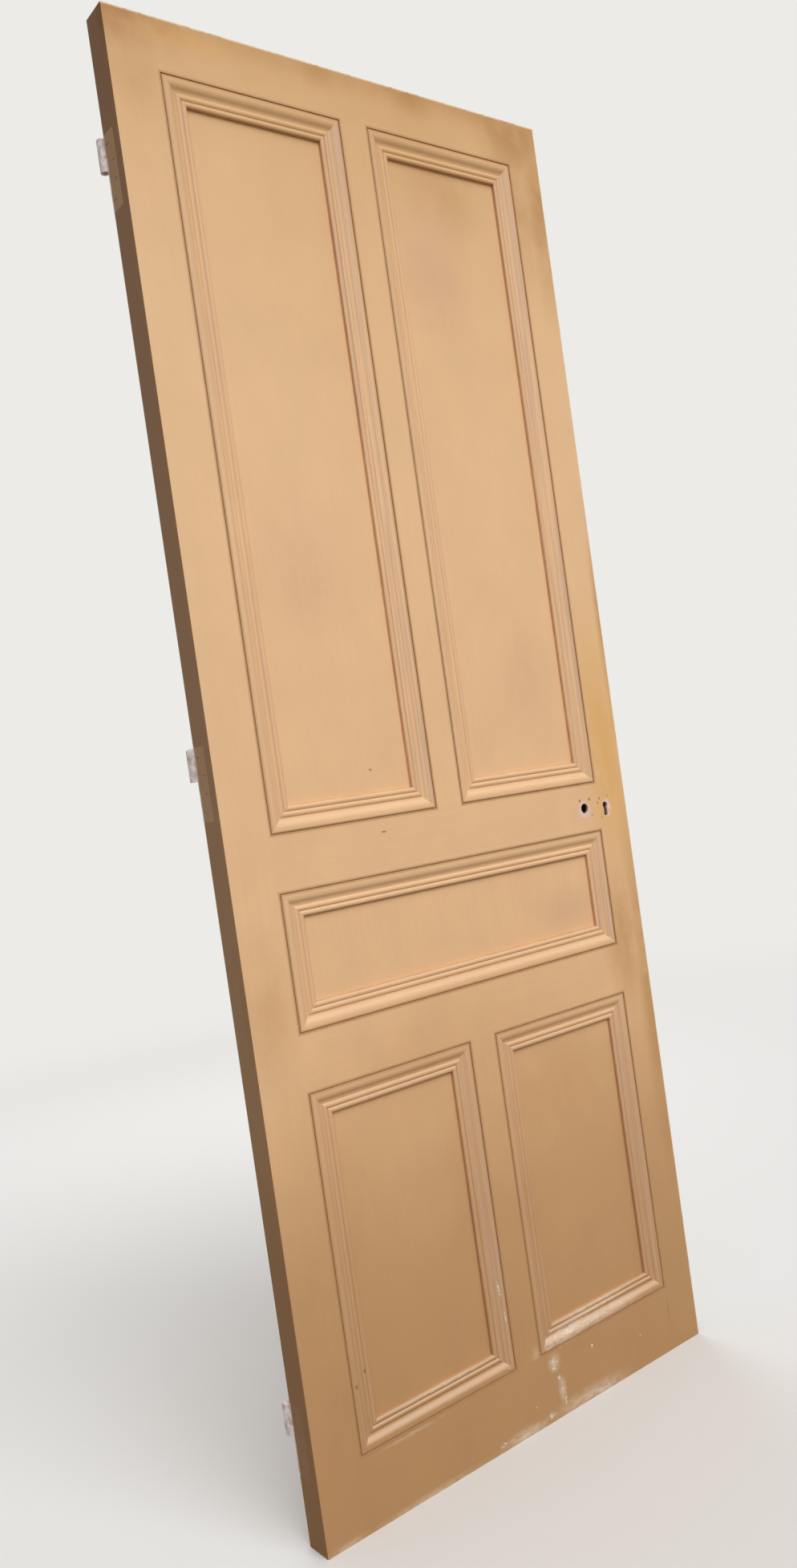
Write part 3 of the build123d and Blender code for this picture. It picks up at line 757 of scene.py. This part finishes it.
def add_dark_marks(shader, marks, colour, height, front):
    """Knocks and screw marks, dark and sunk. Gives the colour and the height."""
    for dark in dark_marks:
        mask = marks_of(shader, marks, dark.kind)
        if mask is not None:
            smudged = shader.plus(mask, shader.spread(shader.noise(smudge_noise), *smudge_span))
            mask = shader.times(shader.fade(smudged, *smudge_fade), front)
            colour = shader.mix(shader.times(mask, dark.strength), colour, dark.colour)
            height = shader.plus(height, shader.spread(mask, 0.0, -chip_depth))
    return colour, height


def add_scuffs(shader, marks, colour, front):
    """Paint rubbed thin and chalky, with soft uneven borders."""
    rubbed = marks_of(shader, marks, "scuff")
    if rubbed is None:
        return colour
    worn = shader.fade(shader.noise(scuff_noise), *scuff_wear_fade)
    broken = shader.times(shader.fade(rubbed, *scuff_fade), worn)
    return shader.mix(shader.times(broken, front), colour, pale_scuff_and_highlight)


def chipped(shader, marks, front):
    """Where paint has come off in flakes, or None."""
    worn = marks_of(shader, marks, "chip")
    if worn is None:
        return None
    broken = shader.plus(worn, shader.spread(shader.noise(flake_noise), *flake_span))
    return shader.times(shader.fade(broken, *chip_fade), front)


def door_paint(name, grain, streaks, panels, marks):
    """Old oil paint on wood: brush marks along the grain, and the wear that the node's marks say."""
    shader = Shader(name)
    front = shader.fade(shader.y, *front_fade)
    colour, brush = painted_colour(shader, grain)
    colour = add_stains(shader, marks, colour, front)
    if streaks:
        colour = add_streaks(shader, colour, streaks)
    if len(panels) == 1 and grain == "across":
        colour = add_dust_and_highlight(shader, colour, front)
    colour = add_moulding_shade_and_light(shader, colour, panels)
    if name in arris_highlight_materials:
        colour = add_arris_highlight(shader, colour)
    edge = hinge_edge(shader)
    # Painted shade on the hinge edge
    colour = add_edge_shade(shader, colour, edge)
    rough = shader.plus(shader.spread(brush, *paint_rough), shader.times(edge, edge_roughness))
    peel = shader.spread(shader.noise(peel_noise), 0.0, peel_depth)
    height = shader.plus(shader.spread(brush, 0.0, brush_depth), peel)
    colour, height = add_dark_marks(shader, marks, colour, height, front)
    colour = add_holes(shader, marks, colour, front)
    colour = add_scuffs(shader, marks, colour, front)
    bare = chipped(shader, marks, front)
    if bare is not None:
        colour = shader.mix(bare, colour, chip_white)
        rough = shader.plus(rough, shader.times(bare, chip_roughness))
        height = shader.plus(height, shader.spread(bare, 0.0, -chip_depth))
    shader.set("Specular IOR Level", paint_gloss)
    return shader.finish(colour, rough, height)


def hinge_paint():
    """Chipped white paint on the knuckles, over iron, and the door's paint on the leaves, darkened by the
    hinge edge's painted shade.
    """
    shader = Shader("paint_hinge")
    across = shader.minus(shader.x, knuckle_line[0])
    through = shader.minus(shader.y, knuckle_line[1])
    squares = shader.plus(shader.times(across, across), shader.times(through, through))
    barrel = shader.fade(shader.math("SQRT", squares), knuckle_reach + knuckle_border, knuckle_reach)
    # The leaves take the hinge edge's painted shade
    leaf_colour = shader.mix(edge_shade_share, painted_colour(shader, "up")[0], edge_shade_brown)
    dirt = shader.noise(iron_dirt_noise)
    white = shader.mix(shader.fade(dirt, *iron_dirt_fade), old_white, old_white_dirt)
    flakes = shader.fade(shader.noise(iron_flake_noise), *iron_flake_fade)
    bare = shader.times(flakes, shader.spread(barrel, *iron_flake_span))
    colour = shader.mix(bare, shader.mix(barrel, leaf_colour, white), iron_brown)
    height = shader.plus(shader.spread(dirt, 0.0, brush_depth), shader.spread(bare, 0.0, -chip_depth))
    shader.set("Specular IOR Level", paint_gloss)
    return shader.finish(colour, shader.spread(bare, *iron_rough), height)


def metal(name, bright, dull):
    """Tarnished metal with fine file marks, dull in patches."""
    shader = Shader(name)
    tarnish = shader.fade(shader.noise(tarnish_noise), *tarnish_fade)
    colour = shader.mix(tarnish, dull, bright)
    filed = shader.noise(filed_noise)
    rough = shader.plus(shader.spread(tarnish, *metal_rough), shader.spread(filed, *filed_rough))
    shader.set("Metallic", 1.0)
    return shader.finish(colour, rough, shader.spread(filed, 0.0, filed_depth))


def give(node_object, material):
    """Puts one material on every slot of a node."""
    slots = node_object.data.materials
    slots.clear()
    slots.append(material)


def panels_for(name):
    """The panels whose moulding lines can show on a node."""
    if name in panels_beside:
        return panels_beside[name]
    return tuple(panel for panel in panel_names if panel in name) or panel_names


def paint_for(name, made):
    """The paint of a wooden node. Nodes with the same grain, streaks and panels, and no marks, share one."""
    level = name.endswith(("rail", "_top", "_bottom"))
    streaks = 0.0
    if name.startswith("front_moulding") and not level:
        streaks = streaks_lock_side if name.endswith("lock_side") else streaks_hinge_side
    panels = panels_for(name)
    marks = wear.get(name, ())
    key = name if marks else (level, streaks, panels)
    if key not in made:
        label = f"paint_{name}" if marks else f"paint_{len(made)}"
        made[key] = door_paint(label, "across" if level else "up", streaks, panels, marks)
    return made[key]


def on_crown(point, top):
    """Whether a point belongs to the chamfered end of the knuckle."""
    away = math.hypot(point.x - knuckle_line[0], point.y - knuckle_line[1])
    return away < knuckle_radius + weld_distance and point.z > top - crown_height - weld_distance


def round_crown(shape, top):
    """Grows a round head from the open ring that the chamfered end left."""
    ring = [edge for edge in shape.edges if edge.is_boundary]
    for step in range(1, crown_steps + 1):
        turn = math.radians(quarter_turn * step / crown_steps)
        grown = bmesh.ops.extrude_edge_only(shape, edges=ring)["geom"]
        ring = [part for part in grown if isinstance(part, bmesh.types.BMEdge)]
        for vertex in {vertex for edge in ring for vertex in edge.verts}:
            across = Vector((vertex.co.x - knuckle_line[0], vertex.co.y - knuckle_line[1]))
            across = across.normalized() * knuckle_radius * math.cos(turn)
            height = top - crown_height * (1 - math.sin(turn))
            vertex.co = (knuckle_line[0] + across.x, knuckle_line[1] + across.y, height)
    bmesh.ops.remove_doubles(shape, verts=shape.verts, dist=weld_distance)
    bmesh.ops.recalc_face_normals(shape, faces=shape.faces)


def welded(name):
    """A CAD node's shape as one joined surface, for a piece that replaces the node."""
    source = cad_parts[name].data
    shape = bmesh.new()
    points = [shape.verts.new(vertex.co) for vertex in source.vertices]
    for polygon in source.polygons:
        shape.faces.new([points[index] for index in polygon.vertices])
    bmesh.ops.remove_doubles(shape, verts=shape.verts, dist=weld_distance)
    return shape


def add_object(name, data):
    """A new object in the scene."""
    thing = bpy.data.objects.new(name, data)
    bpy.context.scene.collection.objects.link(thing)
    return thing


def stand_in(shape, node_name, piece_name, material):
    """A smooth-shaded piece of that shape, on the leaf, in place of a CAD node."""
    mesh = bpy.data.meshes.new(piece_name)
    shape.to_mesh(mesh)
    shape.free()
    mesh.shade_smooth()
    mesh.set_sharp_from_angle(angle=math.radians(sharp_angle))
    mesh.materials.append(material)
    piece = add_object(piece_name, mesh)
    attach(piece, "leaf")
    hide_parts(node_name)
    return piece


def rounded_hinge(name, material):
    """A hinge half whose knuckle ends in a round head, in place of the CAD node with its plain chamfer."""
    shape = welded(name)
    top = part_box(name)[1].z
    crown = [face for face in shape.faces if all(on_crown(vertex.co, top) for vertex in face.verts)]
    bmesh.ops.delete(shape, geom=crown, context="FACES")
    round_crown(shape, top)
    stand_in(shape, name, f"painted_{name}", material)


def bending_spring(material):
    """The latch spring as a smooth-shaded piece with its own mesh, on the leaf, in place of the CAD node."""
    spring = stand_in(welded("latch_spring"), "latch_spring", "bending_latch_spring", material)
    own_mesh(spring)


def dress_nodes():
    """Gives every node its finish."""
    made = {}
    hinge = hinge_paint()
    brass = metal("aged_brass", brass_bright, brass_dull)
    steel = metal("dull_steel", steel_bright, steel_dull)
    for name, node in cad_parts.items():
        if name.endswith("hinge_half"):
            rounded_hinge(name, hinge)
        elif name == "latch_spring":
            bending_spring(steel)
        elif name == "hinge_screws":
            give(node, hinge)
        elif name in brass_nodes:
            give(node, brass)
        elif name in steel_nodes:
            give(node, steel)
        else:
            give(node, paint_for(name, made))


def aim(thing, place, forward, up):
    """Puts a lamp or camera at a place, looking forward."""
    back = -forward.normalized()
    across = up.cross(back).normalized()
    above = back.cross(across)
    turn = Matrix((across, above, back)).transposed().to_4x4()
    thing.matrix_world = Matrix.Translation(place) @ turn


def make_camera():
    """The photograph's camera, with its centre brought into the frame by a small shift."""
    data = bpy.data.cameras.new("camera")
    data.sensor_width = sensor_size
    data.lens = focal_pixels * sensor_size / picture_height
    data.shift_x = (picture_width / 2 - centre_across) / picture_height
    data.shift_y = (centre_down - picture_height / 2) / picture_height
    data.clip_start = clip_near
    data.clip_end = clip_far
    camera = add_object("camera", data)
    aim(camera, camera_place, camera_forward, camera_up)
    bpy.context.scene.camera = camera


def make_lamps():
    """A wide soft sun from above and in front, a lamp near the head, and one behind for the back."""
    sun = bpy.data.lights.new("sun", "SUN")
    sun.energy = sun_strength
    sun.angle = math.radians(sun_softness)
    aim(add_object("sun", sun), sun_from, -sun_from, upward)
    for lamp in lamps:
        light = bpy.data.lights.new(lamp.name, "AREA")
        light.energy = lamp.power
        light.size = lamp.size
        aim(add_object(lamp.name, light), lamp.place, lamp_aim - lamp.place, upward)


def seen_directly(tree):
    """1 for what the camera sees, also in metal and glass, and 0 for light that falls on things."""
    path = tree.nodes.new("ShaderNodeLightPath")
    result = path.outputs["Is Camera Ray"]
    for name in ("Is Glossy Ray", "Is Transmission Ray"):
        node = tree.nodes.new("ShaderNodeMath")
        node.operation = "MAXIMUM"
        tree.links.new(result, node.inputs[0])
        tree.links.new(path.outputs[name], node.inputs[1])
        result = node.outputs[0]
    return result


def make_world():
    """Pale where it is seen, and where it lights the door, soft light from above and less from below."""
    world = bpy.data.worlds.new("world")
    bpy.context.scene.world = world
    world.use_nodes = True
    tree = world.node_tree
    tree.nodes.clear()
    output = tree.nodes.new("ShaderNodeOutputWorld")
    choose = tree.nodes.new("ShaderNodeMixShader")
    light = tree.nodes.new("ShaderNodeBackground")
    seen = tree.nodes.new("ShaderNodeBackground")
    direction = tree.nodes.new("ShaderNodeTexCoord")
    parts = tree.nodes.new("ShaderNodeSeparateXYZ")
    rise = tree.nodes.new("ShaderNodeMapRange")
    tree.links.new(direction.outputs["Generated"], parts.inputs[0])
    tree.links.new(parts.outputs["Z"], rise.inputs["Value"])
    rise.inputs["From Min"].default_value = ground_below
    rise.inputs["From Max"].default_value = sky_above
    rise.inputs["To Min"].default_value = ground_strength
    rise.inputs["To Max"].default_value = sky_strength
    light.inputs["Color"].default_value = world_white
    tree.links.new(rise.outputs["Result"], light.inputs["Strength"])
    seen.inputs["Color"].default_value = linear(backdrop_colour)
    tree.links.new(seen_directly(tree), choose.inputs[0])
    tree.links.new(light.outputs[0], choose.inputs[1])
    tree.links.new(seen.outputs[0], choose.inputs[2])
    tree.links.new(choose.outputs[0], output.inputs[0])


def floor_material():
    """Pale where it is seen, with less light thrown back, and blended into the backdrop far away."""
    shader = Shader("floor")
    seen = seen_directly(shader.tree)
    shader.set("Base Color", shader.mix(seen, floor_bounce, floor_colour))
    shader.set("Roughness", floor_rough)
    shader.set("Specular IOR Level", 0.0)
    far = shader.fade(shader.length(shader.point), floor_blend_start, floor_blend_end)
    plain = shader.new("ShaderNodeEmission")
    shader.put(plain.inputs["Color"], linear(backdrop_colour))
    blend = shader.new("ShaderNodeMixShader")
    shader.put(blend.inputs[0], shader.times(far, seen))
    shader.put(blend.inputs[1], shader.surface.outputs[0])
    shader.put(blend.inputs[2], plain.outputs[0])
    shader.put(shader.tree.nodes["Material Output"].inputs["Surface"], blend.outputs[0])
    return shader.material


def make_floor():
    """A plain pale floor under the leaf's foot."""
    corners = [(x * floor_reach, y * floor_reach, leaf_low.z) for x, y in floor_corners]
    mesh = bpy.data.meshes.new("floor")
    mesh.from_pydata(corners, [], [tuple(range(len(corners)))])
    mesh.materials.append(floor_material())
    add_object("floor", mesh)


dress_nodes()
make_camera()
make_lamps()
make_world()
make_floor()
bpy.context.scene.view_settings.view_transform = "Standard"
